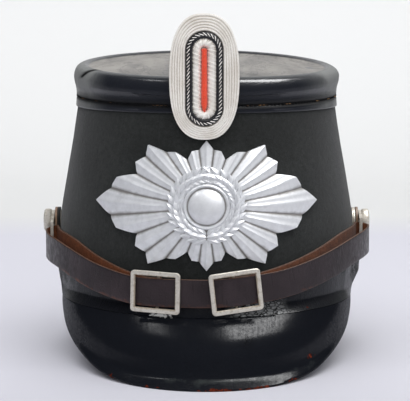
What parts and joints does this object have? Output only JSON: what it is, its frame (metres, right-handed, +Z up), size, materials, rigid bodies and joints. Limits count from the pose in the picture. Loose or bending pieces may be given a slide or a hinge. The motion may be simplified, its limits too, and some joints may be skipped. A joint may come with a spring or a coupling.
{
  "type": "shako hat",
  "caption": "Stiff shako with a tapered cloth crown, leather top, lacquered band and two peaks, buckled chin strap, oval cockade and rayed front badge.",
  "frame": {"origin": "on the table under the middle of the hat's bounding box", "axes": "+Z up; -Y towards the wearer's front, where badge and cockade are; +X towards the wearer's left, which is the right of the picture"},
  "size_m": [0.2004, 0.26, 0.2057],
  "materials": {
    "crown_cloth": "matt dark green-grey felt",
    "top_leather": "glossy black, worn grey on the panel",
    "band_leather": "black lacquer, crackled",
    "peak_leather": "glossy black lacquer, chipped at the edge",
    "strap_leather": "polished dark brown, suede flesh side",
    "tab_leather": "matt black with a tan cut edge",
    "buckle_metal": "worn cream-silver",
    "post_metal": "worn satin, warm tint",
    "silver_braid": "off-white silver thread",
    "two_colour_cord": "twisted black and silver",
    "silver_bullion": "coiled silver wire",
    "red_bar": "orange-red cord",
    "badge_metal": "matt silver"
  },
  "bodies": {
    "root": {"crown_body": "crown_cloth", "crown_top": "top_leather", "base_band": "band_leather", "front_visor": "peak_leather", "neck_guard": "peak_leather", "chin_strap": "strap_leather", "buckle_left": "buckle_metal", "buckle_right": "buckle_metal", "side_post_left": "post_metal", "side_post_right": "post_metal", "side_tab_left": "tab_leather", "side_tab_right": "tab_leather", "strap_lug_left": "post_metal", "strap_lug_right": "post_metal", "cockade_braid": "silver_braid", "cockade_cord": "two_colour_cord", "cockade_bullion": "silver_bullion", "cockade_bar": "red_bar", "front_badge": "badge_metal"}
  },
  "joints": []
}
